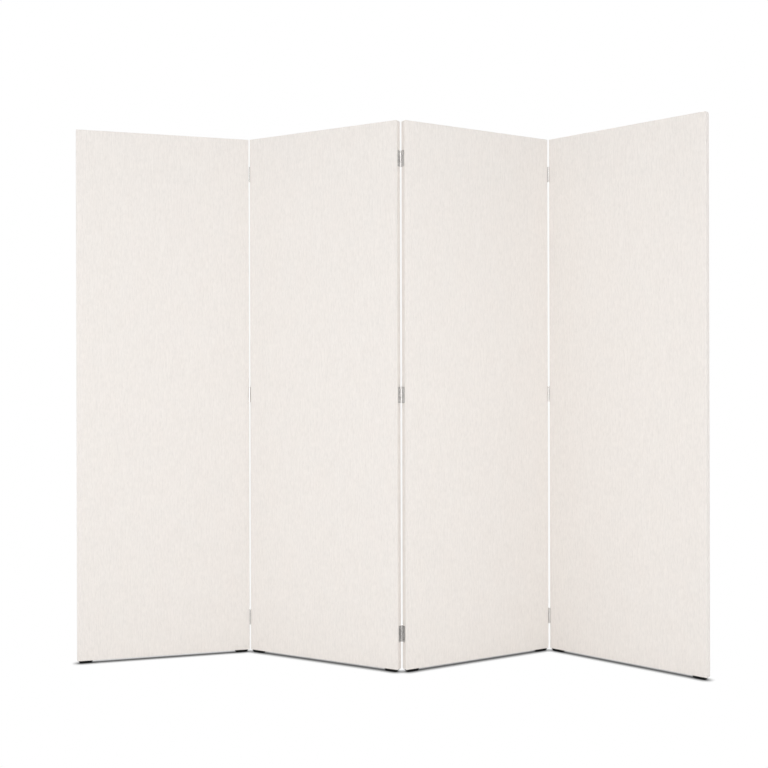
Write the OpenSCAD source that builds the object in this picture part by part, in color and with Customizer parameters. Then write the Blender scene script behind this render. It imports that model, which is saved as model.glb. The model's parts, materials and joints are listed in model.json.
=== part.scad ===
// Folding floor screen: four flat fabric-covered panels joined by three rows of butt hinges.
// X runs to the viewer's right, Y away from the viewer and Z up from the floor, all in millimetres.
// A panel is drawn in its own frame: x from its left end, y from its front face, z from the floor.

/* [Screen] */
// Height from the floor to the top of the panels
overall_h = 1830; // [1500:10:2100]
// Width of one panel
panel_w = 592; // [400:1:700]

/* [Fold] */
// Plan angle of the first panel, positive when its right end is the far one
first_angle = 15.8; // [-60:0.1:60]
// Inside angle between panels 1 and 2, 180 when they are flat
fold_left_angle = 136; // [20:0.5:180]
// Inside angle between panels 2 and 3
fold_middle_angle = 122.5; // [20:0.5:180]
// Inside angle between panels 3 and 4
fold_right_angle = 109; // [20:0.5:180]

/* [Cover and filling] */
// Thickness of the upholstery fabric
fabric_t = 1; // [0.5:0.1:1.5]
// Radius of the soft outer edges of a panel
edge_r = 3; // [2:0.5:5]
// Thickness of the wadding on each face
wadding_t = 2; // [1:0.5:6]
// Thickness of the stiff board under the wadding
board_t = 2; // [1:0.5:5]
// How far a board stops short of the frame's outer edge
board_inset = 3; // [2:0.5:10]

/* [Timber frame] */
// Thickness of the stiles and rails
frame_t = 16; // [14:1:30]
// Width of a stile
stile_w = 40; // [34:1:70]
// Width of the top and bottom rails
rail_w = 45; // [40:1:80]
// Width of the middle rail
middle_rail_w = 60; // [40:1:100]
// Thickness of a tenon
tenon_t = 6; // [4:0.5:8]
// Timber left between a tenon's end and the tips of the hinge screws
tenon_wall = 8; // [3:0.5:12]
// Timber left between a tenon and the tips of the glide nails
nail_wall = 3; // [2:0.5:6]
// Step from each edge of the middle rail to its tenon
middle_shoulder = 8; // [3:0.5:15]
// Clearance around a tenon in its mortise
tenon_fit = 0.1; // [0.05:0.05:0.3]

/* [Hinges] */
// Height of a hinge
hinge_h = 54; // [40:1:80]
// Distance from the top of the screen to the middle of the top hinge
hinge_top = 125; // [85:1:250]
// Distance from the underside of a panel to the middle of the bottom hinge
hinge_bottom = 117; // [85:1:250]
// Reach of a leaf from the pin's centre to its free edge
leaf_reach = 20; // [16:0.5:24]
// Thickness of a leaf
leaf_t = 1; // [0.8:0.1:1.6]
// Clipped corner at the free edge of a leaf
leaf_clip = 1.5; // [0.5:0.5:4]
// Clearance between a leaf and the fabric that it lies on
leaf_fit = 0.02; // [0.01:0.01:0.1]
// Gap between the two leaves of a hinge when its panels are in line
leaf_gap = 0.3; // [0.2:0.1:1]
// Number of knuckles in a hinge, an odd number
knuckles = 5; // [3:2:7]
// Diameter of the hinge pin
pin_d = 2; // [1.8:0.1:3]
// Wall of a knuckle around the pin
knuckle_wall = 1; // [0.8:0.1:1.6]
// Radial clearance between the pin and the knuckles
pin_play = 0.05; // [0.02:0.01:0.1]
// Gap along the pin between neighbouring knuckles
knuckle_gap = 0.3; // [0.2:0.05:0.6]
// Radial gap between a knuckle and the notch in the other leaf
notch_gap = 0.4; // [0.3:0.1:0.8]
// How far the pin's centre stands out from the panel face
pin_proud = 1.6; // [1.2:0.1:4]
// Height of the pin's end buttons
pin_button_h = 0.9; // [0.5:0.1:1.5]
// How far a pin button stops short of the outside of the knuckles
pin_button_step = 0.3; // [0.1:0.1:0.6]

/* [Hinge screws] */
// Distance from the pin's centre to the line of screws
screw_line = 11.5; // [9:0.5:14]
// Distance between neighbouring screws in a leaf
screw_pitch = 18; // [12:0.5:22]
// Length of a screw
screw_l = 14; // [10:1:18]
// Diameter of a screw's shank
screw_d = 3; // [2.5:0.1:3.5]
// Diameter of a screw's countersunk head
screw_head_d = 5.4; // [4.8:0.1:6.5]
// Depth of a screw's head below the face of the leaf
head_sink = 0.05; // [0.02:0.01:0.1]
// Length of a screw's point
screw_point = 3; // [2:0.5:4]
// Radial clearance around the screws and nails
fastener_fit = 0.05; // [0.02:0.01:0.15]
// Width of the cross-shaped drive slots
drive_w = 0.8; // [0.5:0.1:1]
// Length of the cross-shaped drive slots
drive_l = 3; // [2:0.1:3.4]
// Depth of the cross-shaped drive slots
drive_depth = 0.7; // [0.4:0.1:1]

/* [Floor glides] */
// Height of a glide, which lifts the panel off the floor
glide_h = 9; // [7:0.5:20]
// Length of a glide along the panel
glide_l = 45; // [34:1:60]
// Width of a glide across the panel
glide_w = 18; // [12:1:18]
// Distance from the panel's end to the glide
glide_inset = 6; // [4:0.5:10]
// Slant of a glide's ends, measured along the panel
glide_end_slant = 5; // [1:0.5:7]
// Slant of a glide's long sides, measured across the panel
glide_side_slant = 2; // [0.5:0.5:3]
// Upright part of a glide above its slanted rim
glide_rim = 3; // [1:0.5:5]
// Distance between the two nails of a glide
nail_pitch = 18; // [14:1:20]
// Diameter of a nail's shank
nail_d = 2; // [1.6:0.1:2.4]
// Diameter of a nail's head
nail_head_d = 5; // [4:0.5:6]
// Thickness of a nail's head
nail_head_h = 1; // [0.6:0.1:1.4]
// Depth of the recess that hides a nail's head
nail_recess = 4; // [2.5:0.5:5]
// Length of a nail that is in the timber
nail_hold = 9; // [6:1:14]
// Length of a nail's point
nail_point = 2; // [1:0.5:3]

/* [Hidden] */
PANELS = [1, 2, 3, 4];
JOINTS = [1, 2, 3];
PANEL_PIECES = ["left_stile", "right_stile", "top_rail", "middle_rail", "bottom_rail",
    "front_board", "back_board", "wadding", "cover", "glides", "glide_nails"];
HINGE_PIECES = ["left_leaves", "right_leaves", "pins", "left_screws", "right_screws"];

LEFT = "left";
RIGHT = "right";
ROUND_FN = 48;
EDGE_FN = 24;
EDGE_STEP = 360 / EDGE_FN;
QUARTER = 360 / 4;
CUT = 1;

// Layers of a panel, from its front face to its back face
skin = fabric_t + wadding_t + board_t;
panel_t = frame_t + 2 * skin;
panel_bottom = glide_h;
panel_h = overall_h - panel_bottom;
soft_r = min(edge_r, skin);
cavity_r = soft_r - fabric_t;

// Timber frame inside the cover
frame_left = fabric_t;
frame_right = panel_w - fabric_t;
frame_bottom = panel_bottom + fabric_t;
frame_top = overall_h - fabric_t;
stile_inner_left = frame_left + stile_w;
stile_inner_right = frame_right - stile_w;
middle_rail_bottom = (frame_bottom + frame_top - middle_rail_w) / 2;
screw_depth = screw_l - leaf_t - leaf_fit;
tenon_l = stile_w + fabric_t - screw_depth - tenon_wall;
outer_shoulder = nail_hold + nail_wall;

// Hinges
pin_r = pin_d / 2;
bore_r = pin_r + pin_play;
barrel_r = bore_r + knuckle_wall;
leaf_face = leaf_gap / 2;
leaf_back = leaf_face + leaf_t;
half_gap = leaf_back + leaf_fit;
knuckle_h = hinge_h / knuckles;
LEFT_KNUCKLES = [0 : 2 : knuckles - 1];
RIGHT_KNUCKLES = [1 : 2 : knuckles - 1];
screw_r = screw_d / 2;
screw_head_r = screw_head_d / 2;
screw_rows = [-screw_pitch, 0, screw_pitch];
hinge_heights = [
    overall_h - hinge_top,
    panel_bottom + panel_h / 2,
    panel_bottom + hinge_bottom
];

// Glides and their nails
nail_r = nail_d / 2;
nail_head_r = nail_head_d / 2;
glide_middle = glide_inset + glide_l / 2;
nail_places = [
    glide_middle - nail_pitch / 2,
    glide_middle + nail_pitch / 2,
    panel_w - glide_middle - nail_pitch / 2,
    panel_w - glide_middle + nail_pitch / 2
];

// Plan layout. The pins of joints 1 and 3 stand at the front face, those of joint 2 at the back,
// so that the screen folds up like a fan.
function at_front(j) = j % 2 == 1;
function pin_y(j) = at_front(j) ? -pin_proud : panel_t + pin_proud;
function turned(a, p) = [cos(a) * p[0] - sin(a) * p[1], sin(a) * p[0] + cos(a) * p[1]];
function bend(j) =
    2 * QUARTER - [fold_left_angle, fold_middle_angle, fold_right_angle][j - 1];
function panel_turn(i) =
    i == 1 ? first_angle : panel_turn(i - 1) + (at_front(i - 1) ? -1 : 1) * bend(i - 1);
function raw_pin(j) =
    raw_corner(j) + turned(panel_turn(j), [panel_w + half_gap, pin_y(j)]);
function raw_corner(i) =
    i == 1 ? [0, 0] : raw_pin(i - 1) - turned(panel_turn(i), [-half_gap, pin_y(i - 1)]);

// Points on the outline in plan, from which the middle of the whole screen is found
function panel_rim(i) = [
    for (x = [soft_r, panel_w - soft_r])
        for (y = [soft_r, panel_t - soft_r])
            for (a = [0 : EDGE_STEP : 360 - EDGE_STEP])
                raw_corner(i) + turned(panel_turn(i), [x, y] + soft_r * [cos(a), sin(a)])
];
function pin_rim(j) = [
    for (s = [-1, 1]) raw_pin(j) + s * [barrel_r, barrel_r]
];
rim = concat(
    [for (i = PANELS) for (p = panel_rim(i)) p],
    [for (j = JOINTS) for (p = pin_rim(j)) p]);
rim_x = [for (p = rim) p[0]];
rim_y = [for (p = rim) p[1]];
plan_middle = [(min(rim_x) + max(rim_x)) / 2, (min(rim_y) + max(rim_y)) / 2];

function pin_place(j) = raw_pin(j) - plan_middle;
function panel_place(i) = raw_corner(i) - plan_middle;

// 1 for the right side of a panel or of a joint, where things are mirrored, and 0 for the left
function flip(side) = side == RIGHT ? 1 : 0;

// Puts what a panel holds where that panel stands
module on_panel(i) {
    place = panel_place(i);
    translate([place[0], place[1], 0])
        rotate([0, 0, panel_turn(i)])
            children();
}

// Puts a leaf or its screws on the panel at one side of a joint. They are drawn for a panel that lies
// towards -x, with the leaf reaching from the pin towards +y.
module on_joint(j, side) {
    place = pin_place(j);
    translate([place[0], place[1], 0])
        rotate([0, 0, panel_turn(j + flip(side))])
            mirror([flip(side), 0, 0])
                mirror([0, at_front(j) ? 0 : 1, 0])
                    for (z = hinge_heights)
                        translate([0, 0, z])
                            children();
}

function has_hinges(i, side) = side == LEFT ? i > 1 : i < len(PANELS);
function screw_y(j) = pin_y(j) + (at_front(j) ? 1 : -1) * screw_line;

// The holes that the hinge screws make from one side face of a panel
module screw_holes(i, side) {
    if (has_hinges(i, side)) {
        j = i - 1 + flip(side);
        x = side == LEFT ? -CUT : panel_w - screw_depth;
        for (z = hinge_heights)
            for (row = screw_rows)
                translate([x, screw_y(j), z + row])
                    rotate([0, 90, 0])
                        cylinder(r = screw_r + fastener_fit, h = screw_depth + CUT, $fn = ROUND_FN);
    }
}

// The holes that the glide nails make from below
module nail_holes() {
    for (x = nail_places)
        translate([x, panel_t / 2, panel_bottom - CUT])
            cylinder(r = nail_r + fastener_fit, h = nail_hold + fabric_t + CUT, $fn = ROUND_FN);
}

// Timber

// Upright of the frame, with its outer corners eased to sit in the rounded cover, three mortises for
// the rails, and the pilot holes for hinge screws and glide nails
module stile(i, side) {
    length = frame_top - frame_bottom;
    color("burlywood")
        on_panel(i)
            difference() {
                translate([side == LEFT ? frame_left : frame_right, skin, frame_bottom])
                    mirror([flip(side), 0, 0])
                        translate([0, frame_t, 0])
                            rotate([90, 0, 0])
                                linear_extrude(frame_t)
                                    polygon([
                                        [cavity_r, 0], [stile_w, 0],
                                        [stile_w, length], [cavity_r, length],
                                        [0, length - cavity_r], [0, cavity_r]
                                    ]);
                rail_tenons(tenon_fit);
                screw_holes(i, side);
                nail_holes();
            }
}

// A rail's tenons run through its whole length, as thick as the tenons and set in from its edges
module tenon_bar(bottom, width, shoulder, fit) {
    translate([
        stile_inner_left - tenon_l - fit,
        (panel_t - tenon_t) / 2 - fit,
        bottom + shoulder - fit
    ])
        cube([
            stile_inner_right - stile_inner_left + 2 * (tenon_l + fit),
            tenon_t + 2 * fit,
            width - 2 * shoulder + 2 * fit
        ]);
}

module rail_tenons(fit) {
    tenon_bar(frame_bottom, rail_w, outer_shoulder, fit);
    tenon_bar(middle_rail_bottom, middle_rail_w, middle_shoulder, fit);
    tenon_bar(frame_top - rail_w, rail_w, outer_shoulder, fit);
}

// Cross piece of the frame with a tenon at each end
module rail(i, bottom, width, shoulder) {
    color("burlywood")
        on_panel(i)
            union() {
                translate([stile_inner_left, skin, bottom])
                    cube([stile_inner_right - stile_inner_left, frame_t, width]);
                tenon_bar(bottom, width, shoulder, 0);
            }
}

// Filling

// Stiff board on one face of the frame
module board(i, y) {
    color("tan")
        on_panel(i)
            translate([frame_left + board_inset, y, frame_bottom + board_inset])
                cube([
                    frame_right - frame_left - 2 * board_inset,
                    board_t,
                    frame_top - frame_bottom - 2 * board_inset
                ]);
}

// Two sheets of wadding, one over each board
module wadding(i) {
    color("whitesmoke")
        on_panel(i)
            for (y = [fabric_t, panel_t - fabric_t - wadding_t])
                translate([soft_r, y, panel_bottom + soft_r])
                    cube([panel_w - 2 * soft_r, wadding_t, panel_h - 2 * soft_r]);
}

// Cover

// A softly rounded block as rings of points, one above the other. Each ring goes round four corner
// arcs, and the rings follow the rounding at the bottom and at the top. A flat cap closes each end.
function ring(size, r, rise, base) = [
    for (corner = [0 : 3])
        for (s = [0 : CORNER_STEPS])
            corner_middle(size, r, corner, base)
                + r * [
                    cos(rise) * cos(QUARTER * corner + s * EDGE_STEP),
                    cos(rise) * sin(QUARTER * corner + s * EDGE_STEP),
                    sin(rise)
                ]
];
function corner_middle(size, r, corner, z) = [
    corner == 0 || corner == 3 ? size[0] - r : r,
    corner < 2 ? size[1] - r : r,
    z
];
function cap(size, r, z) = [for (corner = [0 : 3]) corner_middle(size, r, corner, z)];
function block_points(size, r) = concat(
    cap(size, r, 0),
    [for (rise = [EDGE_STEP - QUARTER : EDGE_STEP : 0]) for (p = ring(size, r, rise, r)) p],
    [for (rise = [0 : EDGE_STEP : QUARTER - EDGE_STEP])
        for (p = ring(size, r, rise, size[2] - r)) p],
    cap(size, r, size[2]));

CORNER_STEPS = QUARTER / EDGE_STEP;
RING_POINTS = 4 * (CORNER_STEPS + 1);
RINGS = 2 * CORNER_STEPS;
TOP_CAP = 4 + RINGS * RING_POINTS;
function on_ring(level, s) = 4 + level * RING_POINTS + s % RING_POINTS;
function ring_corner(s) = floor((s % RING_POINTS) / (CORNER_STEPS + 1));

// Each band's cells are two triangles. Where a band meets a cap, an arc's cells shrink to one.
block_faces = concat(
    [[0, 1, 2], [0, 2, 3]],
    [for (s = [0 : RING_POINTS - 1]) [ring_corner(s), on_ring(0, s), on_ring(0, s + 1)]],
    [for (s = [0 : RING_POINTS - 1]) if (ring_corner(s) != ring_corner(s + 1))
        [ring_corner(s), on_ring(0, s + 1), ring_corner(s + 1)]],
    [for (level = [0 : RINGS - 2]) for (s = [0 : RING_POINTS - 1])
        [on_ring(level, s), on_ring(level + 1, s), on_ring(level + 1, s + 1)]],
    [for (level = [0 : RINGS - 2]) for (s = [0 : RING_POINTS - 1])
        [on_ring(level, s), on_ring(level + 1, s + 1), on_ring(level, s + 1)]],
    [for (s = [0 : RING_POINTS - 1])
        [on_ring(RINGS - 1, s), TOP_CAP + ring_corner(s + 1), on_ring(RINGS - 1, s + 1)]],
    [for (s = [0 : RING_POINTS - 1]) if (ring_corner(s) != ring_corner(s + 1))
        [on_ring(RINGS - 1, s), TOP_CAP + ring_corner(s), TOP_CAP + ring_corner(s + 1)]],
    [[TOP_CAP, TOP_CAP + 3, TOP_CAP + 2], [TOP_CAP, TOP_CAP + 2, TOP_CAP + 1]]);

module soft_block(size, r) {
    polyhedron(block_points(size, r), block_faces);
}

// Fabric sleeve, closed all round, with the holes that the screws and nails make in it
module cover(i) {
    color("linen")
        on_panel(i)
            difference() {
                translate([0, 0, panel_bottom])
                    soft_block([panel_w, panel_t, panel_h], soft_r);
                translate([fabric_t, fabric_t, panel_bottom + fabric_t])
                    soft_block([
                        panel_w - 2 * fabric_t,
                        panel_t - 2 * fabric_t,
                        panel_h - 2 * fabric_t
                    ], cavity_r);
                screw_holes(i, LEFT);
                screw_holes(i, RIGHT);
                nail_holes();
            }
}

// Floor glides

// Long block with a slanted lower rim all round and two recessed nail holes
module glide() {
    slant_h = glide_h - glide_rim;
    difference() {
        intersection() {
            translate([-glide_l / 2, glide_w / 2, 0])
                rotate([90, 0, 0])
                    linear_extrude(glide_w)
                        polygon([
                            [glide_end_slant, 0], [glide_l - glide_end_slant, 0],
                            [glide_l, slant_h], [glide_l, glide_h], [0, glide_h], [0, slant_h]
                        ]);
            translate([-glide_l / 2, 0, 0])
                rotate([90, 0, 90])
                    linear_extrude(glide_l)
                        polygon([
                            [glide_side_slant - glide_w / 2, 0],
                            [glide_w / 2 - glide_side_slant, 0],
                            [glide_w / 2, slant_h], [glide_w / 2, glide_h],
                            [-glide_w / 2, glide_h], [-glide_w / 2, slant_h]
                        ]);
        }
        for (x = [-nail_pitch / 2, nail_pitch / 2])
            translate([x, 0, 0]) {
                translate([0, 0, -CUT])
                    cylinder(r = nail_r + fastener_fit, h = glide_h + 2 * CUT, $fn = ROUND_FN);
                translate([0, 0, -CUT])
                    cylinder(r = nail_head_r + fastener_fit, h = nail_recess + CUT, $fn = ROUND_FN);
            }
    }
}

module glides(i) {
    color("black")
        on_panel(i)
            for (x = [glide_middle, panel_w - glide_middle])
                translate([x, panel_t / 2, 0])
                    glide();
}

// Nail with a flat head, its head up in the recess of the glide and its point in the stile
module glide_nails(i) {
    top = panel_bottom + fabric_t + nail_hold;
    head_bottom = nail_recess - nail_head_h;
    color("silver")
        on_panel(i)
            for (x = nail_places)
                translate([x, panel_t / 2, 0])
                    rotate_extrude($fn = ROUND_FN)
                        polygon([
                            [0, head_bottom], [nail_head_r, head_bottom],
                            [nail_head_r, nail_recess], [nail_r, nail_recess],
                            [nail_r, top - nail_point], [0, top]
                        ]);
}

// Hinges

// A leaf is a plate on the panel's side face with its knuckles rolled round the pin, notches for the
// other leaf's knuckles, and three countersunk holes
module leaf(own, others) {
    difference() {
        union() {
            translate([-leaf_back, 0, -hinge_h / 2])
                rotate([90, 0, 90])
                    linear_extrude(leaf_t)
                        polygon([
                            [0, 0], [leaf_reach - leaf_clip, 0], [leaf_reach, leaf_clip],
                            [leaf_reach, hinge_h - leaf_clip], [leaf_reach - leaf_clip, hinge_h],
                            [0, hinge_h]
                        ]);
            for (k = own)
                translate([0, 0, knuckle_bottom(k)])
                    cylinder(r = barrel_r, h = knuckle_top(k) - knuckle_bottom(k), $fn = ROUND_FN);
        }
        translate([0, 0, -hinge_h / 2 - CUT])
            cylinder(r = bore_r, h = hinge_h + 2 * CUT, $fn = ROUND_FN);
        for (k = others)
            translate([0, 0, knuckle_bottom(k) - notch_below(k)])
                cylinder(
                    r = barrel_r + notch_gap,
                    h = knuckle_top(k) - knuckle_bottom(k) + notch_below(k) + notch_above(k),
                    $fn = ROUND_FN
                );
        for (row = screw_rows)
            translate([0, screw_line, row])
                rotate([0, -90, 0])
                    screw_seat();
    }
}

// Height of the ends of knuckle k, counted from the bottom. The outer ends are flush with the leaf.
function knuckle_bottom(k) = k * knuckle_h - hinge_h / 2 + (k == 0 ? 0 : knuckle_gap / 2);
function knuckle_top(k) =
    (k + 1) * knuckle_h - hinge_h / 2 - (k == knuckles - 1 ? 0 : knuckle_gap / 2);
function notch_below(k) = k == 0 ? CUT : knuckle_gap;
function notch_above(k) = k == knuckles - 1 ? CUT : knuckle_gap;

// Countersunk hole through the leaf, along +z from the leaf's inner face. Its cone is as deep as the
// leaf is thick.
module screw_seat() {
    rotate_extrude($fn = ROUND_FN)
        polygon([
            [0, leaf_face - CUT], [screw_head_r + fastener_fit, leaf_face - CUT],
            [screw_head_r + fastener_fit, leaf_face], [screw_r + fastener_fit, leaf_back],
            [screw_r + fastener_fit, leaf_back + CUT], [0, leaf_back + CUT]
        ]);
}

// Screw along +z, its flat head just below the leaf's inner face
module screw() {
    start = leaf_face + head_sink;
    tip = leaf_face + screw_l;
    difference() {
        rotate_extrude($fn = ROUND_FN)
            polygon([
                [0, start], [screw_head_r - head_sink, start], [screw_r, leaf_back],
                [screw_r, tip - screw_point], [0, tip]
            ]);
        for (a = [0, QUARTER])
            rotate([0, 0, a])
                translate([-drive_l / 2, -drive_w / 2, start - CUT])
                    cube([drive_l, drive_w, drive_depth + CUT]);
    }
}

module leaves(j, side) {
    color("silver")
        on_joint(j, side)
            if (side == LEFT)
                leaf(LEFT_KNUCKLES, RIGHT_KNUCKLES);
            else
                leaf(RIGHT_KNUCKLES, LEFT_KNUCKLES);
}

// Pin with a button at each end that keeps it in the knuckles
module pins(j) {
    button_r = barrel_r - pin_button_step;
    color("gainsboro")
        on_joint(j, LEFT)
            rotate_extrude($fn = ROUND_FN)
                polygon([
                    [0, -hinge_h / 2 - pin_button_h], [pin_r, -hinge_h / 2 - pin_button_h],
                    [button_r, -hinge_h / 2 - pin_button_h / 2], [button_r, -hinge_h / 2],
                    [pin_r, -hinge_h / 2], [pin_r, hinge_h / 2], [button_r, hinge_h / 2],
                    [button_r, hinge_h / 2 + pin_button_h / 2],
                    [pin_r, hinge_h / 2 + pin_button_h], [0, hinge_h / 2 + pin_button_h]
                ]);
}

module screws(j, side) {
    color("silver")
        on_joint(j, side)
            for (row = screw_rows)
                translate([0, screw_line, row])
                    rotate([0, -90, 0])
                        screw();
}

for (i = PANELS) {
    stile(i, LEFT);
    stile(i, RIGHT);
    rail(i, frame_top - rail_w, rail_w, outer_shoulder);
    rail(i, middle_rail_bottom, middle_rail_w, middle_shoulder);
    rail(i, frame_bottom, rail_w, outer_shoulder);
    board(i, fabric_t + wadding_t);
    board(i, panel_t - skin);
    wadding(i);
    cover(i);
    glides(i);
    glide_nails(i);
}
for (j = JOINTS) {
    leaves(j, LEFT);
    leaves(j, RIGHT);
    pins(j);
    screws(j, LEFT);
    screws(j, RIGHT);
}
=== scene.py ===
"""Folding floor screen: four fabric-covered panels in a zigzag on low black glides.

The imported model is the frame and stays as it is. This file gives its metal, timber and plastic
their finishes, and puts a softly padded fabric cover over each panel. All new shapes are worked out
in a panel's own measure, in metres: x along the panel from its left end, y from its front face to
its back, and z up from the floor.
"""

import json
import math

import bpy
import numpy as np
from bpy.props import FloatProperty, FloatVectorProperty, IntProperty, PointerProperty
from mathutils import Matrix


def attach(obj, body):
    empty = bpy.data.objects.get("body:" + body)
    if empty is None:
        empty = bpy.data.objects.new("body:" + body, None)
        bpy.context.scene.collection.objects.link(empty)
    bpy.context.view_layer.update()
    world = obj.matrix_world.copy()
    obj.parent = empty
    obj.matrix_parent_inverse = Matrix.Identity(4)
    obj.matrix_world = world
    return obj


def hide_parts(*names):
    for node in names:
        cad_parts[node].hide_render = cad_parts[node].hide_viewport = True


bl_info = {
    "name": "Folding Screen",
    "version": (1, 0, 0),
    "blender": (4, 5, 0),
    "location": "View3D > Sidebar > Folding Screen",
    "description": "Dresses a four-panel folding screen in fabric, nickel, timber and plastic",
    "category": "Object",
}

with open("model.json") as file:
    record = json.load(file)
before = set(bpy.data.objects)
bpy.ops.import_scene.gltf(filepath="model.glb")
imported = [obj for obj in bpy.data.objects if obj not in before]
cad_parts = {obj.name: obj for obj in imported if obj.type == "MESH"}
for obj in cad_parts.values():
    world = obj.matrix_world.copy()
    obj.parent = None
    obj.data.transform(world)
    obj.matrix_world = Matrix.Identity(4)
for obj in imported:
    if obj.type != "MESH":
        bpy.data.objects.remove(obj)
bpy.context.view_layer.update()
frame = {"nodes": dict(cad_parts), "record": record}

X, Y, Z = 0, 1, 2
WHITE = (1.0, 1.0, 1.0, 1.0)
PANELS = (1, 2, 3, 4)
JOINTS = (1, 2, 3)

# A gap in height that only lies between the leaves of one hinge and those of the next
HINGE_GAP = 0.1

# Reach of the knuckles from their pin's axis, and how far past it their lighter tone, part burnished
# plate and part painted highlight, fades out
KNUCKLE_RADIUS = 0.00205
HIGHLIGHT_FADE = 0.0005

# Slow waves of the padded faces: lengths across and up, and how often the panel's phase is added
WAVES = ((0.37, 0.93, 1.0), (0.23, -0.61, 2.3), (0.91, 0.34, 3.1))

# Phase that each panel has more than the last one, so that no two are uneven in the same way
PHASE_STEP = 1.7

# Decimals of a metre in which points of two neighbouring grids have to agree to be joined
JOIN_DECIMALS = 6

# Name of the map that holds each point's place on the unrolled cloth
CLOTH_MAP = "cloth"

# The point that the lamps face, and each lamp's name, place, size and setting for its power
LAMP_AIM = (0.0, 0.0, 0.95)
LAMPS = (
    ("front_lamp", (0.0, -4.6, 1.7), 2.0, "front_power"),
    ("left_lamp", (-2.8, -3.8, 1.5), 2.0, "left_power"),
    ("right_lamp", (2.8, -3.8, 1.5), 2.0, "right_power"),
    ("far_left_lamp", (-4.5, -1.2, 1.8), 2.0, "side_power"),
    ("far_right_lamp", (4.5, -1.2, 1.8), 2.0, "side_power"),
    ("back_lamp", (0.0, 4.6, 1.9), 2.4, "back_power"),
    ("top_lamp", (0.0, 0.6, 5.2), 2.4, "top_power"),
)

# Width of the camera's sensor in millimetres
SENSOR_WIDTH = 36.0


# Places that come from the frame


def mount_place(name):
    """Row-frame place of a mount, as an array."""
    found = [m for m in frame["record"]["mounts"] if m["name"] == name]
    if not found:
        raise RuntimeError(f"the record has no mount named {name}")
    return np.array(found[0]["pos_m"], float)


def pin_place(joint):
    """Place in plan of a joint's pins, at height nought."""
    x, y, _ = frame["record"]["behaviour"]["joints"][joint - 1]["pos_m"]
    return (x, y, 0.0)


def vertices_of(node):
    """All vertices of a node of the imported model, one row each."""
    mesh = frame["nodes"][node].data
    flat = np.empty(len(mesh.vertices) * 3, np.float32)
    mesh.vertices.foreach_get("co", flat)
    return flat.reshape(-1, 3).astype(float)


class PanelPlace:
    """Where a panel stands: its turn about the vertical and its front left foot.

    The turn is that of the line through the middles of its two glides. The foot is the lowest
    corner of the cover in axes turned by that much.
    """

    def __init__(self, number):
        left = mount_place(f"panel{number}_left_glide")
        right = mount_place(f"panel{number}_right_glide")
        along = right - left
        self.number = number
        self.turn = math.atan2(along[Y], along[X])
        cosine, sine = math.cos(self.turn), math.sin(self.turn)
        self.axes = np.array([[cosine, sine, 0.0], [-sine, cosine, 0.0], [0.0, 0.0, 1.0]])
        cover = vertices_of(f"panel{number}_cover") @ self.axes.T
        low, high = cover.min(axis=0), cover.max(axis=0)
        self.size = high - low
        self.base = low[Z]
        self.foot = np.array([low[X], low[Y], 0.0]) @ self.axes

    def to_panel(self, points):
        """Row-frame points in the panel's own measure."""
        return (points - self.foot) @ self.axes.T

    def to_row(self, points):
        """Points in the panel's own measure, in the row frame."""
        return points @ self.axes + self.foot


def split_by_height(points, gap):
    """The points in groups, lowest first, split wherever their heights leave a gap."""
    order = points[np.argsort(points[:, Z])]
    breaks = np.flatnonzero(np.diff(order[:, Z]) > gap) + 1
    return np.split(order, breaks)


def leaves_on(place, side):
    """Low and high corners, in the panel's measure, of each leaf on its left or right side face."""
    joint, hand = (place.number - 1, "right") if side == "left" else (place.number, "left")
    if joint not in JOINTS:
        return []
    points = place.to_panel(vertices_of(f"hinge{joint}_{hand}_leaves"))
    return [(leaf.min(axis=0), leaf.max(axis=0)) for leaf in split_by_height(points, HINGE_GAP)]


# Settings


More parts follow.
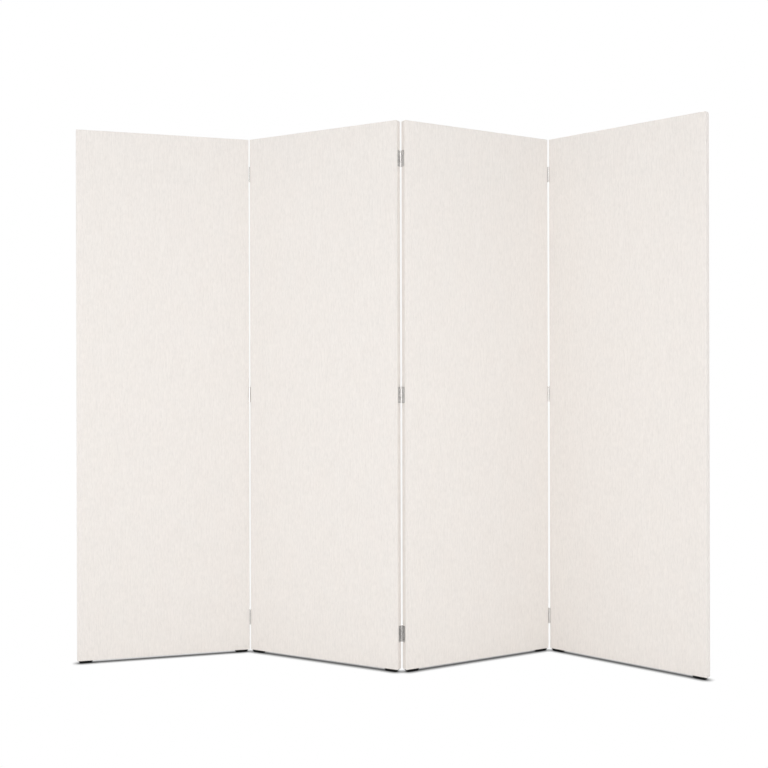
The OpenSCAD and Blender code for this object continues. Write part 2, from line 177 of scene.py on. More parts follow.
class CoverSettings(bpy.types.PropertyGroup):
    """Shape and cloth of the four fabric covers."""

    edge_radius: FloatProperty(
        name="Edge radius",
        description="Radius of the outer edges of a panel",
        default=0.003,
        min=0.002,
        max=0.008,
        unit="LENGTH",
    )
    arc_steps: IntProperty(
        name="Arc steps",
        description="Cells across half of a rounded edge",
        default=4,
        min=2,
        max=8,
    )
    cell: FloatProperty(
        name="Mean cell",
        description="Mean size of a cell of the cover's grid",
        default=0.0066,
        min=0.004,
        max=0.02,
        unit="LENGTH",
    )
    crowding: FloatProperty(
        name="Crowding",
        description="How much closer the grid lines lie near the edges, from 0 to below 1",
        default=0.72,
        min=0.0,
        max=0.9,
        subtype="FACTOR",
    )
    crown: FloatProperty(
        name="Crown",
        description="How far the wadding lifts the middle of a face",
        default=0.0007,
        min=0.0,
        max=0.002,
        unit="LENGTH",
    )
    crown_reach: FloatProperty(
        name="Crown reach",
        description="Distance from an edge over which the crown rises",
        default=0.024,
        min=0.005,
        max=0.08,
        unit="LENGTH",
    )
    edge_sink: FloatProperty(
        name="Edge sink",
        description="How far the taut cloth draws a face in beside its edges",
        default=0.0008,
        min=0.0,
        max=0.0009,
        unit="LENGTH",
    )
    sink_reach: FloatProperty(
        name="Sink reach",
        description="Distance from an edge over which the face is drawn in",
        default=0.009,
        min=0.003,
        max=0.03,
        unit="LENGTH",
    )
    ripple: FloatProperty(
        name="Ripple",
        description="Height of the slow unevenness of the padded faces",
        default=0.00012,
        min=0.0,
        max=0.0005,
        unit="LENGTH",
    )
    side_puff: FloatProperty(
        name="Side puff",
        description="How far the cloth stands out between the hinge leaves, which press it in",
        default=0.0004,
        min=0.0,
        max=0.001,
        unit="LENGTH",
    )
    press_reach: FloatProperty(
        name="Press reach",
        description="Distance from a leaf over which the pressed cloth rises again",
        default=0.007,
        min=0.002,
        max=0.02,
        unit="LENGTH",
    )
    colour: FloatVectorProperty(
        name="Cloth colour",
        description="Mean colour of the upholstery cloth",
        subtype="COLOR",
        size=3,
        default=(0.835, 0.794, 0.757),
        min=0.0,
        max=1.0,
    )
    yarn: FloatProperty(
        name="Yarn spacing",
        description="Distance between neighbouring yarns of the weave",
        default=0.0011,
        min=0.0005,
        max=0.003,
        unit="LENGTH",
    )
    slub_width: FloatProperty(
        name="Slub width",
        description="Width of a thickened place in the upright yarns",
        default=0.0046,
        min=0.001,
        max=0.02,
        unit="LENGTH",
    )
    slub_length: FloatProperty(
        name="Slub length",
        description="Length of a thickened place in the upright yarns",
        default=0.017,
        min=0.005,
        max=0.1,
        unit="LENGTH",
    )
    relief: FloatProperty(
        name="Weave relief",
        description="Height of the yarns over the hollows between them",
        default=0.00022,
        min=0.0,
        max=0.001,
        unit="LENGTH",
    )


class HardwareSettings(bpy.types.PropertyGroup):
    """Finish of the hinges, nails and glides."""

    nickel: FloatVectorProperty(
        name="Leaf colour",
        description="Colour of the satin nickel plate on the hinge leaves",
        subtype="COLOR",
        size=3,
        default=(0.61, 0.60, 0.59),
        min=0.0,
        max=1.0,
    )
    nickel_roughness: FloatProperty(
        name="Leaf roughness",
        description="Mean roughness of the plate on the hinge leaves",
        default=0.28,
        min=0.05,
        max=1.0,
        subtype="FACTOR",
    )
    bright: FloatVectorProperty(
        name="Pin and screw colour",
        description="Colour of the brighter nickel on the pins, screws and nails",
        subtype="COLOR",
        size=3,
        default=(0.80, 0.79, 0.78),
        min=0.0,
        max=1.0,
    )
    bright_roughness: FloatProperty(
        name="Pin and screw roughness",
        description="Mean roughness of the nickel on the pins, screws and nails",
        default=0.22,
        min=0.05,
        max=1.0,
        subtype="FACTOR",
    )
    glide: FloatVectorProperty(
        name="Glide colour",
        description="Colour of the moulded glides",
        subtype="COLOR",
        size=3,
        default=(0.007, 0.007, 0.007),
        min=0.0,
        max=1.0,
    )
    glide_roughness: FloatProperty(
        name="Glide roughness",
        description="Mean roughness of the moulded glides",
        default=0.55,
        min=0.05,
        max=1.0,
        subtype="FACTOR",
    )


class InsideSettings(bpy.types.PropertyGroup):
    """Finish of what the covers hide."""

    timber: FloatVectorProperty(
        name="Timber colour",
        description="Colour of the planed softwood frame",
        subtype="COLOR",
        size=3,
        default=(0.76, 0.60, 0.42),
        min=0.0,
        max=1.0,
    )
    board: FloatVectorProperty(
        name="Board colour",
        description="Colour of the pressed boards",
        subtype="COLOR",
        size=3,
        default=(0.62, 0.49, 0.35),
        min=0.0,
        max=1.0,
    )
    wadding: FloatVectorProperty(
        name="Wadding colour",
        description="Colour of the wadding",
        subtype="COLOR",
        size=3,
        default=(0.93, 0.93, 0.91),
        min=0.0,
        max=1.0,
    )
    ring_spacing: FloatProperty(
        name="Ring spacing",
        description="Distance between growth rings in the timber",
        default=0.0035,
        min=0.001,
        max=0.02,
        unit="LENGTH",
    )


class StudioSettings(bpy.types.PropertyGroup):
    """Floor, light and camera."""

    floor_size: FloatProperty(
        name="Floor size",
        description="Length of each side of the floor",
        default=80.0,
        min=5.0,
        max=200.0,
        unit="LENGTH",
    )
    floor_colour: FloatVectorProperty(
        name="Floor colour",
        description="Colour with which the floor lights the screen",
        subtype="COLOR",
        size=3,
        default=(0.95, 0.95, 0.95),
        min=0.0,
        max=1.0,
    )
    # Reach and depth of the painted contact shadow, which darkens the floor's glow near the screen
    painted_shadow_reach: FloatProperty(
        name="Contact reach",
        description="How near a thing has to be to deepen its shadow on the floor",
        default=0.022,
        min=0.005,
        max=0.2,
        unit="LENGTH",
    )
    painted_shadow_depth: FloatProperty(
        name="Contact depth",
        description="Power to which the open share over the floor is raised",
        default=1.7,
        min=0.0,
        max=6.0,
    )
    sky: FloatProperty(
        name="Sky",
        description="Level of the even light from all round",
        default=0.44,
        min=0.0,
        max=2.0,
    )
    front_power: FloatProperty(
        name="Front power",
        description="Power of the soft lamp straight in front",
        default=40.5,
        min=0.0,
        max=1000.0,
        unit="POWER",
    )
    left_power: FloatProperty(
        name="Left power",
        description="Power of the soft lamp at the front left",
        default=35.5,
        min=0.0,
        max=1000.0,
        unit="POWER",
    )
    right_power: FloatProperty(
        name="Right power",
        description="Power of the soft lamp at the front right",
        default=33.0,
        min=0.0,
        max=1000.0,
        unit="POWER",
    )
    side_power: FloatProperty(
        name="Side power",
        description="Power of each of the soft lamps far out at the sides",
        default=18.5,
        min=0.0,
        max=1000.0,
        unit="POWER",
    )
    back_power: FloatProperty(
        name="Back power",
        description="Power of the soft lamp behind the screen",
        default=104.0,
        min=0.0,
        max=1000.0,
        unit="POWER",
    )
    top_power: FloatProperty(
        name="Top power",
        description="Power of the soft lamp overhead",
        default=56.0,
        min=0.0,
        max=1000.0,
        unit="POWER",
    )
    lens: FloatProperty(
        name="Lens",
        description="Focal length on a sensor 36 mm wide",
        default=49.55,
        min=20.0,
        max=200.0,
        unit="CAMERA",
    )
    eye: FloatVectorProperty(
        name="Eye point",
        description="Place of the camera",
        subtype="TRANSLATION",
        unit="LENGTH",
        size=3,
        default=(0.004, -3.600, 0.956),
    )
    roll: FloatProperty(
        name="Roll",
        description="Tilt of the camera about its line of sight",
        default=math.radians(0.14),
        subtype="ANGLE",
    )


# Shape of a cover


def rounding_lines(radius, steps):
    """Distances from an edge of the grid lines in its rounding.

    The line for the angle a lies at the radius times one less the tangent of a. The angles go in
    equal steps from 45 degrees, on the edge, to one step short of 0, where the flat begins.
    """
    angle = np.linspace(math.pi / 4, 0.0, steps + 1)[:-1]
    return radius * (1.0 - np.tan(angle))


def grid_lines(length, settings):
    """Places of the grid lines across one side of the block.

    Between the two roundings, the line at the share t lies at the share t less crowding times the
    sine of a whole turn times t, over a whole turn, so that the lines are closest near the edges.
    """
    radius = settings.edge_radius
    edge = rounding_lines(radius, settings.arc_steps)
    flat = length - 2 * radius
    share = np.linspace(0.0, 1.0, max(2, round(flat / settings.cell)) + 1)
    share = share - settings.crowding * np.sin(math.tau * share) / math.tau
    return np.concatenate([edge, radius + flat * share, (length - edge)[::-1]])


def rounded(points, size, radius):
    """Points of a plain block moved onto the block with rounded edges, and the normals there.

    Each point goes to the nearest point of the core, which is the block less the radius all round,
    and from there one radius towards where it was.
    """
    core = np.clip(points, radius, size - radius)
    away = points - core
    normal = away / np.linalg.norm(away, axis=-1, keepdims=True)
    return core + radius * normal, normal


def bell(distance, reach):
    """One at no distance, falling off as e to minus the square of the distance over the reach."""
    return np.exp(-((distance / reach) ** 2))


def face_lift(points, size, settings, phase):
    """How far the padded front and back stand out beyond the flat.

    The crown is one less a bell of the distance to the nearer upright edge, times the same for the
    nearer level edge. The taut cloth takes off a narrower bell beside the edges. The mean of some
    slow waves, each a sine of x over one length and z over another, makes the face uneven.
    """
    across = np.minimum(points[..., X], size[X] - points[..., X])
    up = np.minimum(points[..., Z], size[Z] - points[..., Z])
    nearest = np.minimum(across, up)
    reach = settings.crown_reach
    crown = settings.crown * (1.0 - bell(across, reach)) * (1.0 - bell(up, reach))
    sink = settings.edge_sink * bell(nearest, settings.sink_reach)
    wave = sum(
        np.sin(math.tau * (points[..., X] / width + points[..., Z] / height) + times * phase)
        for width, height, times in WAVES
    )
    return crown - sink + settings.ripple * wave / len(WAVES) * (1.0 - bell(nearest, reach))


def side_lift(points, size, settings, leaves):
    """How far the side faces stand out between the hinge leaves.

    The puff is a half wave across the thickness. At each leaf it is nothing, and it comes back with
    the distance from the leaf as one less a bell.
    """
    puff = settings.side_puff * np.sin(math.pi * np.clip(points[..., Y] / size[Y], 0.0, 1.0))
    for low, high in leaves:
        beyond_y = np.maximum(np.maximum(low[Y] - points[..., Y], points[..., Y] - high[Y]), 0.0)
        beyond_z = np.maximum(np.maximum(low[Z] - points[..., Z], points[..., Z] - high[Z]), 0.0)
        puff = puff * (1.0 - bell(np.hypot(beyond_y, beyond_z), settings.press_reach))
    return puff


def cloth_place(points, axis, at_high, size):
    """Place on the cloth as it lies unrolled, in metres: round the panel, and up.

    The front lies at x, and the right side, the back and the left side follow on it. The cloth of
    the top and bottom goes on straight up and down from the front.
    """
    x, y, z = points[..., X], points[..., Y], points[..., Z]
    if axis == Z:
        return np.stack([x, size[Z] + y if at_high else -y], axis=-1)
    if axis == X:
        return np.stack([size[X] + y if at_high else -y, z], axis=-1)
    return np.stack([2 * size[X] + size[Y] - x if at_high else x, z], axis=-1)


def block_side(lines, axis, at_high, size):
    """One side of the plain block as a grid of points, and its cells as four corners each.

    The two other axes run along the grid, in the order that turns the cells outwards on the high
    side. On the low side each cell is taken the other way round.
    """
    first, second = (axis + 1) % 3, (axis + 2) % 3
    a, b = np.meshgrid(lines[first], lines[second], indexing="ij")
    points = np.empty(a.shape + (3,))
    points[..., first] = a
    points[..., second] = b
    points[..., axis] = size[axis] if at_high else 0.0
    index = np.arange(a.size).reshape(a.shape)
    cells = np.stack([index[:-1, :-1], index[1:, :-1], index[1:, 1:], index[:-1, 1:]], axis=-1)
    cells = cells.reshape(-1, 4)
    return points, cells if at_high else cells[:, ::-1]


def cover_surface(place, settings):
    """Points, cells and cloth places of one cover, in the row frame.

    Six grids of a plain block are rounded, lifted along their normals and joined at equal points.
    """
    size = place.size
    lines = [grid_lines(length, settings) for length in size]
    shift = np.array([0.0, 0.0, place.base])
    leaves = {
        side: [(low - shift, high - shift) for low, high in leaves_on(place, side)]
        for side in ("left", "right")
    }
    phase = PHASE_STEP * place.number
    points, cells, cloth = [], [], []
    start = 0
    for axis in (X, Y, Z):
        for at_high in (False, True):
            plain, quads = block_side(lines, axis, at_high, size)
            surface, normal = rounded(plain, size, settings.edge_radius)
            face = face_lift(surface, size, settings, phase)
            left = side_lift(surface, size, settings, leaves["left"])
            right = side_lift(surface, size, settings, leaves["right"])
            side = np.where(surface[..., X] < size[X] / 2, left, right)
            lift = face * normal[..., Y] ** 2 + side * normal[..., X] ** 2
            points.append((surface + normal * lift[..., None]).reshape(-1, 3))
            cloth.append(cloth_place(plain, axis, at_high, size).reshape(-1, 2)[quads.ravel()])
            cells.append(quads + start)
            start += plain.shape[0] * plain.shape[1]
    points = np.concatenate(points)
    matched = np.round(points, JOIN_DECIMALS)
    _, first, joined = np.unique(matched, axis=0, return_index=True, return_inverse=True)
    cells = joined.ravel()[np.concatenate(cells)]
    return place.to_row(points[first] + shift), cells, np.concatenate(cloth)


def check_closed(name, cells):
    """Raises an error unless every edge of the cells belongs to exactly two of them."""
    edges = np.concatenate([cells[:, [k, (k + 1) % 4]] for k in range(4)])
    _, count = np.unique(np.sort(edges, axis=1), axis=0, return_counts=True)
    if np.any(count != 2):
        raise RuntimeError(f"{name} isn't closed: {int(np.sum(count != 2))} edges are open")


def new_mesh_object(name, points, cells, cloth):
    """An object at the origin with a smooth mesh of four-cornered cells and a map of its cloth."""
    mesh = bpy.data.meshes.new(name)
    mesh.from_pydata(points.tolist(), [], cells.tolist())
    cloth_map = mesh.uv_layers.new(name=CLOTH_MAP)
    cloth_map.data.foreach_set("uv", cloth.astype(np.float32).ravel())
    mesh.polygons.foreach_set("use_smooth", np.ones(len(cells), bool))
    mesh.update()
    piece = bpy.data.objects.new(name, mesh)
    bpy.context.scene.collection.objects.link(piece)
    return piece


# Materials


def tinted(colour, level):
    """A colour with its three parts multiplied by a level, and full opacity."""
    return tuple(min(1.0, part * level) for part in colour) + (1.0,)


class Nodes:
    """A small helper that adds and links the shader nodes of a material or of the world."""

    def __init__(self, owner, output="ShaderNodeOutputMaterial"):
        owner.use_nodes = True
        self.owner = owner
        self.tree = owner.node_tree
        self.tree.nodes.clear()
        self.output = self.tree.nodes.new(output)

    def add(self, kind, inputs=None, **settings):
        """A new node with its settings, whose inputs are values or sockets to link."""
        node = self.tree.nodes.new(kind)
        for key, value in settings.items():
            setattr(node, key, value)
        for key, value in (inputs or {}).items():
            if isinstance(value, bpy.types.NodeSocket):
                self.tree.links.new(value, node.inputs[key])
            else:
                node.inputs[key].default_value = value
        return node

    def end(self, shader):
        """Ends the tree with a shader, and gives back what the tree belongs to."""
        self.tree.links.new(shader, self.output.inputs["Surface"])
        return self.owner

    def principled(self, **inputs):
        """Ends the tree with a principled shader, whose inputs are named with underscores."""
        named = {key.replace("_", " "): value for key, value in inputs.items()}
        return self.end(self.add("ShaderNodeBsdfPrincipled", named).outputs["BSDF"])

    def backdrop(self, lit, seen):
        """Ends the tree with one shader that lights things, and another that is seen.

        The second is for rays from the camera, and for those off gloss and through glass.
        """
        path = self.add("ShaderNodeLightPath").outputs
        mirrored = self.maths("MAXIMUM", path["Is Glossy Ray"], path["Is Transmission Ray"])
        share = self.maths("MAXIMUM", path["Is Camera Ray"], mirrored)
        mix = self.add("ShaderNodeMixShader", {0: share, 1: lit, 2: seen})
        return self.end(mix.outputs["Shader"])

    def object_place(self):
        """The row-frame place of the point being shaded."""
        return self.add("ShaderNodeTexCoord").outputs["Object"]

    def panel_place(self, place):
        """The place of the point being shaded, in a panel's own measure."""
        inputs = {"Vector": self.object_place(), "Location": tuple(place.foot)}
        inputs["Rotation"] = (0.0, 0.0, place.turn)
        return self.add("ShaderNodeMapping", inputs, vector_type="TEXTURE").outputs["Vector"]

    def maths(self, operation, first, second=0.0, third=0.0):
        """The result of one operation on values or sockets."""
        node = self.add("ShaderNodeMath", {0: first, 1: second, 2: third}, operation=operation)
        return node.outputs["Value"]

    def weighed(self, *parts):
        """The sum of some values, each given with its weight."""
        total = 0.0
        for value, weight in parts:
            total = self.maths("MULTIPLY_ADD", value, weight, total)
        return total

    def span(self, value, source, target):
        """A value moved from one range to another, and kept inside that."""
        ends = dict(zip(("From Min", "From Max", "To Min", "To Max"), (*source, *target)))
        return self.add("ShaderNodeMapRange", {"Value": value, **ends}).outputs["Result"]

    def product(self, first, second):
        """Two vectors or colours multiplied part by part."""
        node = self.add("ShaderNodeVectorMath", {0: first, 1: second}, operation="MULTIPLY")
        return node.outputs["Vector"]

    def noise(self, place, scale, detail=2.0, roughness=0.5, distortion=0.0):
        """Noise from 0 to 1, whose scale is the number of its features in a metre of each axis."""
        inputs = {"Vector": self.product(place, scale), "Scale": 1.0, "Detail": detail}
        inputs.update({"Roughness": roughness, "Distortion": distortion})
        return self.add("ShaderNodeTexNoise", inputs).outputs["Fac"]

    def blend(self, share, first, second):
        """A colour between two others."""
        node = self.add("ShaderNodeMix", {0: share, 6: first, 7: second}, data_type="RGBA")
        return node.outputs[2]

    def shaded(self, share, colour, levels):
        """A colour that goes from one level of itself to another."""
        return self.blend(share, tinted(colour, levels[0]), tinted(colour, levels[1]))

    def bump(self, height, distance, strength):
        """A normal from a height, of which 1 stands for the distance in metres."""
        inputs = {"Height": height, "Distance": distance, "Strength": strength}
        return self.add("ShaderNodeBump", inputs).outputs["Normal"]


def upholstery_cloth(settings):
    """Off-white plain weave with upright slubs.

    The yarns are sines of the place on the cloth, and a little wander keeps them from being ruled.
    Where an upright yarn lies on top, the one across dips, which the product of the two sines
    decides. The slubs are noise drawn out upright, in a short kind and a long kind. The tone follows
    the slubs, the weave and a cloud, and the dye drifts a little between cool and warm.
    """
    cloth = Nodes(bpy.data.materials.new("upholstery_cloth"))
    place = cloth.add("ShaderNodeUVMap", uv_map=CLOTH_MAP).outputs["UV"]
    wander = cloth.noise(place, (9.0, 9.0, 0.0), detail=1.0)
    wander = cloth.span(wander, (0.0, 1.0), (-0.5 * settings.yarn, 0.5 * settings.yarn))
    parts = cloth.add("ShaderNodeSeparateXYZ", {"Vector": place}).outputs
    turn = math.pi / settings.yarn
    sines = []
    for axis in ("X", "Y"):
        shifted = cloth.maths("ADD", parts[axis], wander)
        sines.append(cloth.maths("SINE", cloth.maths("MULTIPLY", shifted, turn)))
    warp = cloth.maths("ABSOLUTE", sines[X])
    weft = cloth.maths("ABSOLUTE", sines[Y])
    over = cloth.span(cloth.maths("MULTIPLY", sines[X], sines[Y]), (-0.6, 0.6), (0.0, 1.0))
    weave = cloth.add("ShaderNodeMix", {0: over, 2: weft, 3: warp}, data_type="FLOAT").outputs[0]

    slub_scale = (1.0 / settings.slub_width, 1.0 / settings.slub_length, 0.0)
    long_scale = (1.3 * slub_scale[X], 0.3 * slub_scale[Y], 0.0)
    fine_scale = tuple(3.0 * part for part in slub_scale)
    short = cloth.noise(place, slub_scale, detail=1.0, distortion=0.6)
    long = cloth.noise(place, long_scale, detail=1.0, distortion=0.9)
    slub = cloth.span(cloth.weighed((short, 0.55), (long, 0.45)), (0.28, 0.72), (0.0, 1.0))
    fine = cloth.noise(place, fine_scale, detail=1.0)
    height = cloth.weighed((weave, 1.0), (slub, 0.9), (fine, 0.35))

    cloud = cloth.noise(place, (26.0, 15.0, 0.0), detail=3.0)
    shade = cloth.weighed((slub, 0.8), (weave, 0.3), (cloud, 0.2))
    dye = cloth.noise(place, (15.0, 11.0, 0.0))
    dye = cloth.blend(dye, (1.005, 0.998, 0.994, 1.0), (0.995, 1.002, 1.006, 1.0))
    return cloth.principled(
        Base_Color=cloth.product(cloth.shaded(shade, settings.colour, (0.91, 1.055)), dye),
        Roughness=0.93,
        Sheen_Weight=0.12,
        Sheen_Roughness=0.5,
        Sheen_Tint=(1.0, 0.99, 0.97, 1.0),
        Normal=cloth.bump(height, settings.relief, strength=0.8),
    )


def nickel(name, tone, rough, pin=None, knuckle_highlight_tone=None):
    """Nickel plate: a fine upright brushing, with a slow unevenness of the polish.

    Given a pin, what lies within the knuckle radius of its axis gets a lighter tone, partly
    burnished plate and partly a painted highlight on the barrel, which fades out a little way
    beyond.
    """
    levels = (0.86, 1.06)
    metal = Nodes(bpy.data.materials.new(name))
    place = metal.object_place()
    brushing = metal.noise(place, (5200.0, 5200.0, 260.0))
    polish = metal.noise(place, (180.0, 180.0, 90.0), detail=3.0)
    mark = metal.weighed((polish, 0.5), (brushing, 0.5))
    colour = metal.shaded(polish, tone, levels)
    # Painted highlight: the knuckles round the pin take the lighter tone, partly burnished plate and
    # partly the barrel's highlight
    if pin:
        plan = metal.product(place, (1.0, 1.0, 0.0))
        away = metal.add("ShaderNodeVectorMath", {0: plan, 1: pin}, operation="DISTANCE")
        fade = (KNUCKLE_RADIUS, KNUCKLE_RADIUS + HIGHLIGHT_FADE)
        share = metal.span(away.outputs["Value"], fade, (1.0, 0.0))
        colour = metal.blend(share, colour, metal.shaded(polish, knuckle_highlight_tone, levels))
    return metal.principled(
        Base_Color=colour,
        Metallic=1.0,
        Roughness=metal.span(mark, (0.3, 0.7), (rough - 0.08, rough + 0.12)),
        Normal=metal.bump(brushing, 0.00003, strength=0.5),
    )


def moulded_plastic(settings):
    """Matt black moulded plastic with a fine spark-eroded grain and a few dull rubbed places."""
    rough = settings.glide_roughness
    plastic = Nodes(bpy.data.materials.new("moulded_plastic"))
    place = plastic.object_place()
    grain = plastic.noise(place, (2400.0, 2400.0, 2400.0))
    rubbed = plastic.noise(place, (140.0, 140.0, 140.0), detail=3.0)
    return plastic.principled(
        Base_Color=plastic.shaded(rubbed, settings.glide, (0.7, 1.9)),
        Roughness=plastic.span(rubbed, (0.3, 0.7), (rough - 0.1, rough + 0.1)),
        Specular_IOR_Level=0.15,
        Normal=plastic.bump(grain, 0.00005, strength=0.6),
    )


def planed_timber(settings, place, along):
    """Planed softwood. Its rings are bands across the grain, bent by noise drawn out along it."""
    upright = along == Z
    name = "upright" if upright else "cross"
    timber = Nodes(bpy.data.materials.new(f"timber_{name}_{place.number}"))
    here = timber.panel_place(place)
    parts = timber.add("ShaderNodeSeparateXYZ", {"Vector": here}).outputs
    across = parts["X" if upright else "Z"]
    bend_scale, fibre_scale = [14.0] * 3, [1600.0] * 3
    bend_scale[along], fibre_scale[along] = 1.1, 40.0
    bend = timber.noise(here, bend_scale)
    fibre = timber.noise(here, fibre_scale)
    ring = timber.weighed((across, 1.0), (parts["Y"], 0.4), (bend, 0.03))
    ring = timber.maths("SINE", timber.maths("MULTIPLY", ring, math.tau / settings.ring_spacing))
    late = timber.maths("POWER", timber.span(ring, (-1.0, 1.0), (0.0, 1.0)), 2.5)
    shade = timber.weighed((late, 0.75), (fibre, 0.25))
    return timber.principled(
        Base_Color=timber.shaded(shade, settings.timber, (1.08, 0.72)),
        Roughness=timber.span(fibre, (0.2, 0.8), (0.55, 0.75)),
        Normal=timber.bump(shade, 0.00015, strength=0.6),
    )


def pressed_board(settings):
    """Stiff pressed board: short pressed fibres in two tones."""
    board = Nodes(bpy.data.materials.new("pressed_board"))
    place = board.object_place()
    fibre = board.noise(place, (300.0, 300.0, 420.0), detail=4.0, roughness=0.7)
    blotch = board.noise(place, (22.0, 22.0, 22.0))
    shade = board.weighed((blotch, 0.3), (fibre, 0.7))
    return board.principled(
        Base_Color=board.shaded(shade, settings.board, (0.75, 1.2)),
        Roughness=0.85,
        Normal=board.bump(fibre, 0.0002, strength=0.7),
    )


def loose_wadding(settings):
    """White wadding: soft tangled fibres, thick in some places and thin in others."""
    wadding = Nodes(bpy.data.materials.new("wadding"))
    place = wadding.object_place()
    tangle = wadding.noise(place, (500.0, 500.0, 500.0), detail=5.0, roughness=0.75)
    tuft = wadding.noise(place, (45.0, 45.0, 45.0))
    shade = wadding.weighed((tuft, 0.5), (tangle, 0.5))
    return wadding.principled(
        Base_Color=wadding.shaded(shade, settings.wadding, (0.86, 1.06)),
        Roughness=1.0,
        Sheen_Weight=0.3,
        Normal=wadding.bump(shade, 0.0008, strength=0.8),
    )


def studio_floor(settings):
    """Pale floor that lights the screen, and looks white to the camera and in reflections.

    To these it glows at a strength of 1, times a power of the open share of what is over it within
    the contact reach, so that the contact shadow is painted shade in the glow.
    """
    floor = Nodes(bpy.data.materials.new("studio_floor"))
    # Painted shadow: the floor's glow darkens where things are near over it, whatever the lamps do
    near = floor.add("ShaderNodeAmbientOcclusion", {"Distance": settings.painted_shadow_reach})
    painted_shadow_strength = floor.maths("POWER", near.outputs["AO"], settings.painted_shadow_depth)
    lit = floor.add("ShaderNodeBsdfDiffuse", {"Color": tinted(settings.floor_colour, 1.0)})
    glow = floor.add("ShaderNodeEmission", {"Strength": painted_shadow_strength})
    material = floor.backdrop(lit.outputs["BSDF"], glow.outputs["Emission"])
    # The glow lights nothing, so it needn't be sampled as a lamp
    material.cycles.emission_sampling = "NONE"
    return material


def paint(node, material):
    """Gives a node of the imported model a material."""
    for slot in frame["nodes"][node].material_slots:
        slot.material = material


# Light


def soft_lamp(name, place, size, power):
    """A square area lamp that faces the point at which all lamps aim.

    It is tilted up from straight down by a quarter turn and the slope to that point, and turned
    round to the bearing of that point less a quarter turn.
    """
    lamp = bpy.data.lights.new(name, "AREA")
    lamp.shape = "SQUARE"
    lamp.size = size
    lamp.energy = power
    stand = bpy.data.objects.new(name, lamp)
    stand.location = place
    toward = np.array(LAMP_AIM) - np.array(place)
    slope = math.atan2(toward[Z], math.hypot(toward[X], toward[Y]))
    bearing = math.atan2(toward[Y], toward[X])
    stand.rotation_euler = (math.pi / 2 + slope, 0.0, bearing - math.pi / 2)
    bpy.context.scene.collection.objects.link(stand)


def light_world(settings):
    """Even light from all round, and plain white where the camera or a reflection sees it."""
    sky = Nodes(bpy.data.worlds.new("studio"), "ShaderNodeOutputWorld")
    lit = sky.add("ShaderNodeBackground", {"Color": WHITE, "Strength": settings.sky})
    white = sky.add("ShaderNodeBackground", {"Color": WHITE})
    bpy.context.scene.world = sky.backdrop(lit.outputs["Background"], white.outputs["Background"])


# Operators


class DIVIDER_OT_covers(bpy.types.Operator):
    """Makes the fabric cover of each panel"""

    bl_idname = "divider.covers"
    bl_label = "Fabric Covers"

    def execute(self, context):
        settings = context.scene.divider_covers
        cloth = upholstery_cloth(settings)
        for number in PANELS:
            place = PanelPlace(number)
            points, cells, on_cloth = cover_surface(place, settings)
            name = f"panel{number}_fabric"
            check_closed(name, cells)
            piece = new_mesh_object(name, points, cells, on_cloth)
            piece.data.materials.append(cloth)
            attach(piece, f"panel_{number}")
            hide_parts(f"panel{number}_cover")
        return {"FINISHED"}


class DIVIDER_OT_hinges(bpy.types.Operator):
    """Finishes the hinge leaves, pins, screws and glide nails in nickel"""

    bl_idname = "divider.hinges"
    bl_label = "Hinges and Nails"

    def execute(self, context):
        settings = context.scene.divider_hardware
        bright = nickel("bright_nickel", settings.bright, settings.bright_roughness)
        for joint in JOINTS:
            satin = nickel(
                f"satin_nickel_{joint}",
                settings.nickel,
                settings.nickel_roughness,
                pin=pin_place(joint),
                # The knuckles take the brighter nickel, part of which is painted highlight
                knuckle_highlight_tone=settings.bright,
            )
            for piece in ("left_leaves", "right_leaves"):
                paint(f"hinge{joint}_{piece}", satin)
            for piece in ("pins", "left_screws", "right_screws"):
                paint(f"hinge{joint}_{piece}", bright)
        for number in PANELS:
            paint(f"panel{number}_glide_nails", bright)
        return {"FINISHED"}


class DIVIDER_OT_glides(bpy.types.Operator):
    """Finishes the floor glides in matt black moulded plastic"""

    bl_idname = "divider.glides"
    bl_label = "Floor Glides"

    def execute(self, context):
        plastic = moulded_plastic(context.scene.divider_hardware)
        for number in PANELS:
            paint(f"panel{number}_glides", plastic)
        return {"FINISHED"}


class DIVIDER_OT_inside(bpy.types.Operator):
    """Finishes the timber frames, boards and wadding inside the covers"""

    bl_idname = "divider.inside"
    bl_label = "Frames and Filling"

    def execute(self, context):
        settings = context.scene.divider_inside
        board = pressed_board(settings)
        wadding = loose_wadding(settings)
        for number in PANELS:
            place = PanelPlace(number)
            upright = planed_timber(settings, place, along=Z)
            cross = planed_timber(settings, place, along=X)
            for piece in ("left_stile", "right_stile"):
                paint(f"panel{number}_{piece}", upright)
            for piece in ("top_rail", "middle_rail", "bottom_rail"):
                paint(f"panel{number}_{piece}", cross)
            for piece in ("front_board", "back_board"):
                paint(f"panel{number}_{piece}", board)
            paint(f"panel{number}_wadding", wadding)
        return {"FINISHED"}


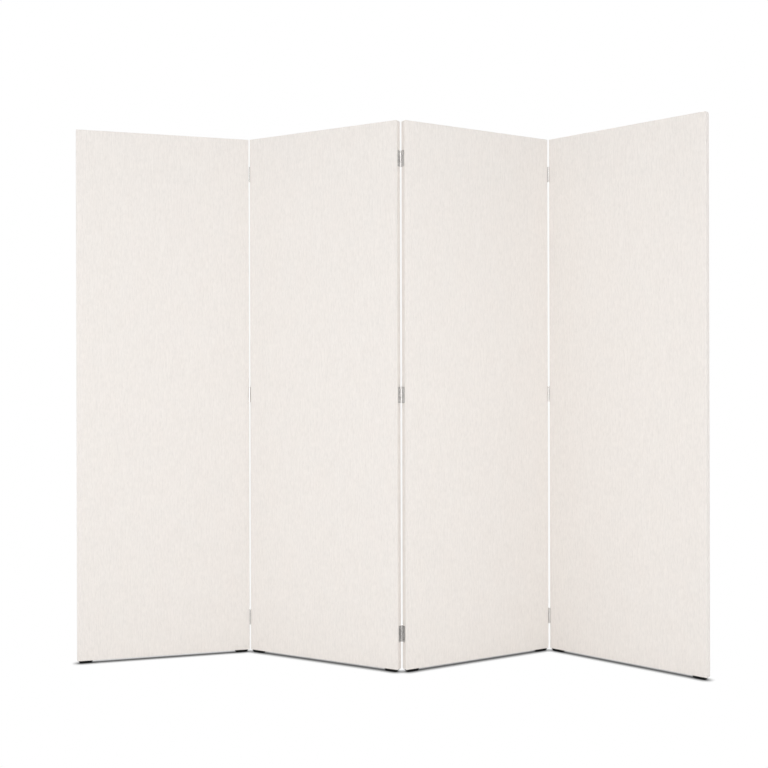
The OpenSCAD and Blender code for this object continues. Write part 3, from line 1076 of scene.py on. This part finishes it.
class DIVIDER_OT_studio(bpy.types.Operator):
    """Makes the floor, the light and the camera"""

    bl_idname = "divider.studio"
    bl_label = "Studio"

    def execute(self, context):
        scene = context.scene
        settings = scene.divider_studio
        half = settings.floor_size / 2
        corners = [(-half, -half, 0.0), (half, -half, 0.0), (half, half, 0.0), (-half, half, 0.0)]
        mesh = bpy.data.meshes.new("studio_floor")
        mesh.from_pydata(corners, [], [(0, 1, 2, 3)])
        mesh.materials.append(studio_floor(settings))
        floor = bpy.data.objects.new("studio_floor", mesh)
        scene.collection.objects.link(floor)
        light_world(settings)
        for name, place, size, power in LAMPS:
            soft_lamp(name, place, size, getattr(settings, power))
        lens = bpy.data.cameras.new("camera")
        lens.lens = settings.lens
        lens.sensor_width = SENSOR_WIDTH
        lens.sensor_fit = "HORIZONTAL"
        camera = bpy.data.objects.new("camera", lens)
        camera.location = settings.eye
        camera.rotation_euler = (math.pi / 2, settings.roll, 0.0)
        scene.collection.objects.link(camera)
        scene.camera = camera
        scene.view_settings.view_transform = "Standard"
        return {"FINISHED"}


OPERATORS = (
    DIVIDER_OT_covers,
    DIVIDER_OT_hinges,
    DIVIDER_OT_glides,
    DIVIDER_OT_inside,
    DIVIDER_OT_studio,
)


class DIVIDER_PT_build(bpy.types.Panel):
    """Lists the steps that dress the screen, each with its sizes and colours"""

    bl_idname = "DIVIDER_PT_build"
    bl_label = "Folding Screen"
    bl_space_type = "VIEW_3D"
    bl_region_type = "UI"
    bl_category = "Folding Screen"

    def draw(self, context):
        layout = self.layout
        for operator in OPERATORS:
            layout.operator(operator.bl_idname)
        for name in SETTINGS:
            group = getattr(context.scene, name)
            box = layout.box()
            for key in group.bl_rna.properties.keys():
                if key not in ("rna_type", "name"):
                    box.prop(group, key)


SETTINGS = {
    "divider_covers": CoverSettings,
    "divider_hardware": HardwareSettings,
    "divider_inside": InsideSettings,
    "divider_studio": StudioSettings,
}
CLASSES = (*SETTINGS.values(), *OPERATORS, DIVIDER_PT_build)


def register():
    """Registers every class and hangs the settings on the scene."""
    for cls in CLASSES:
        bpy.utils.register_class(cls)
    for name, group in SETTINGS.items():
        setattr(bpy.types.Scene, name, PointerProperty(type=group))


def unregister():
    """Takes the settings and the classes away again."""
    for name in SETTINGS:
        delattr(bpy.types.Scene, name)
    for cls in reversed(CLASSES):
        bpy.utils.unregister_class(cls)


def main():
    """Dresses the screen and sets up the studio."""
    register()
    bpy.ops.divider.covers()
    bpy.ops.divider.hinges()
    bpy.ops.divider.glides()
    bpy.ops.divider.inside()
    bpy.ops.divider.studio()
    bpy.context.view_layer.update()


if __name__ == "__main__":
    main()
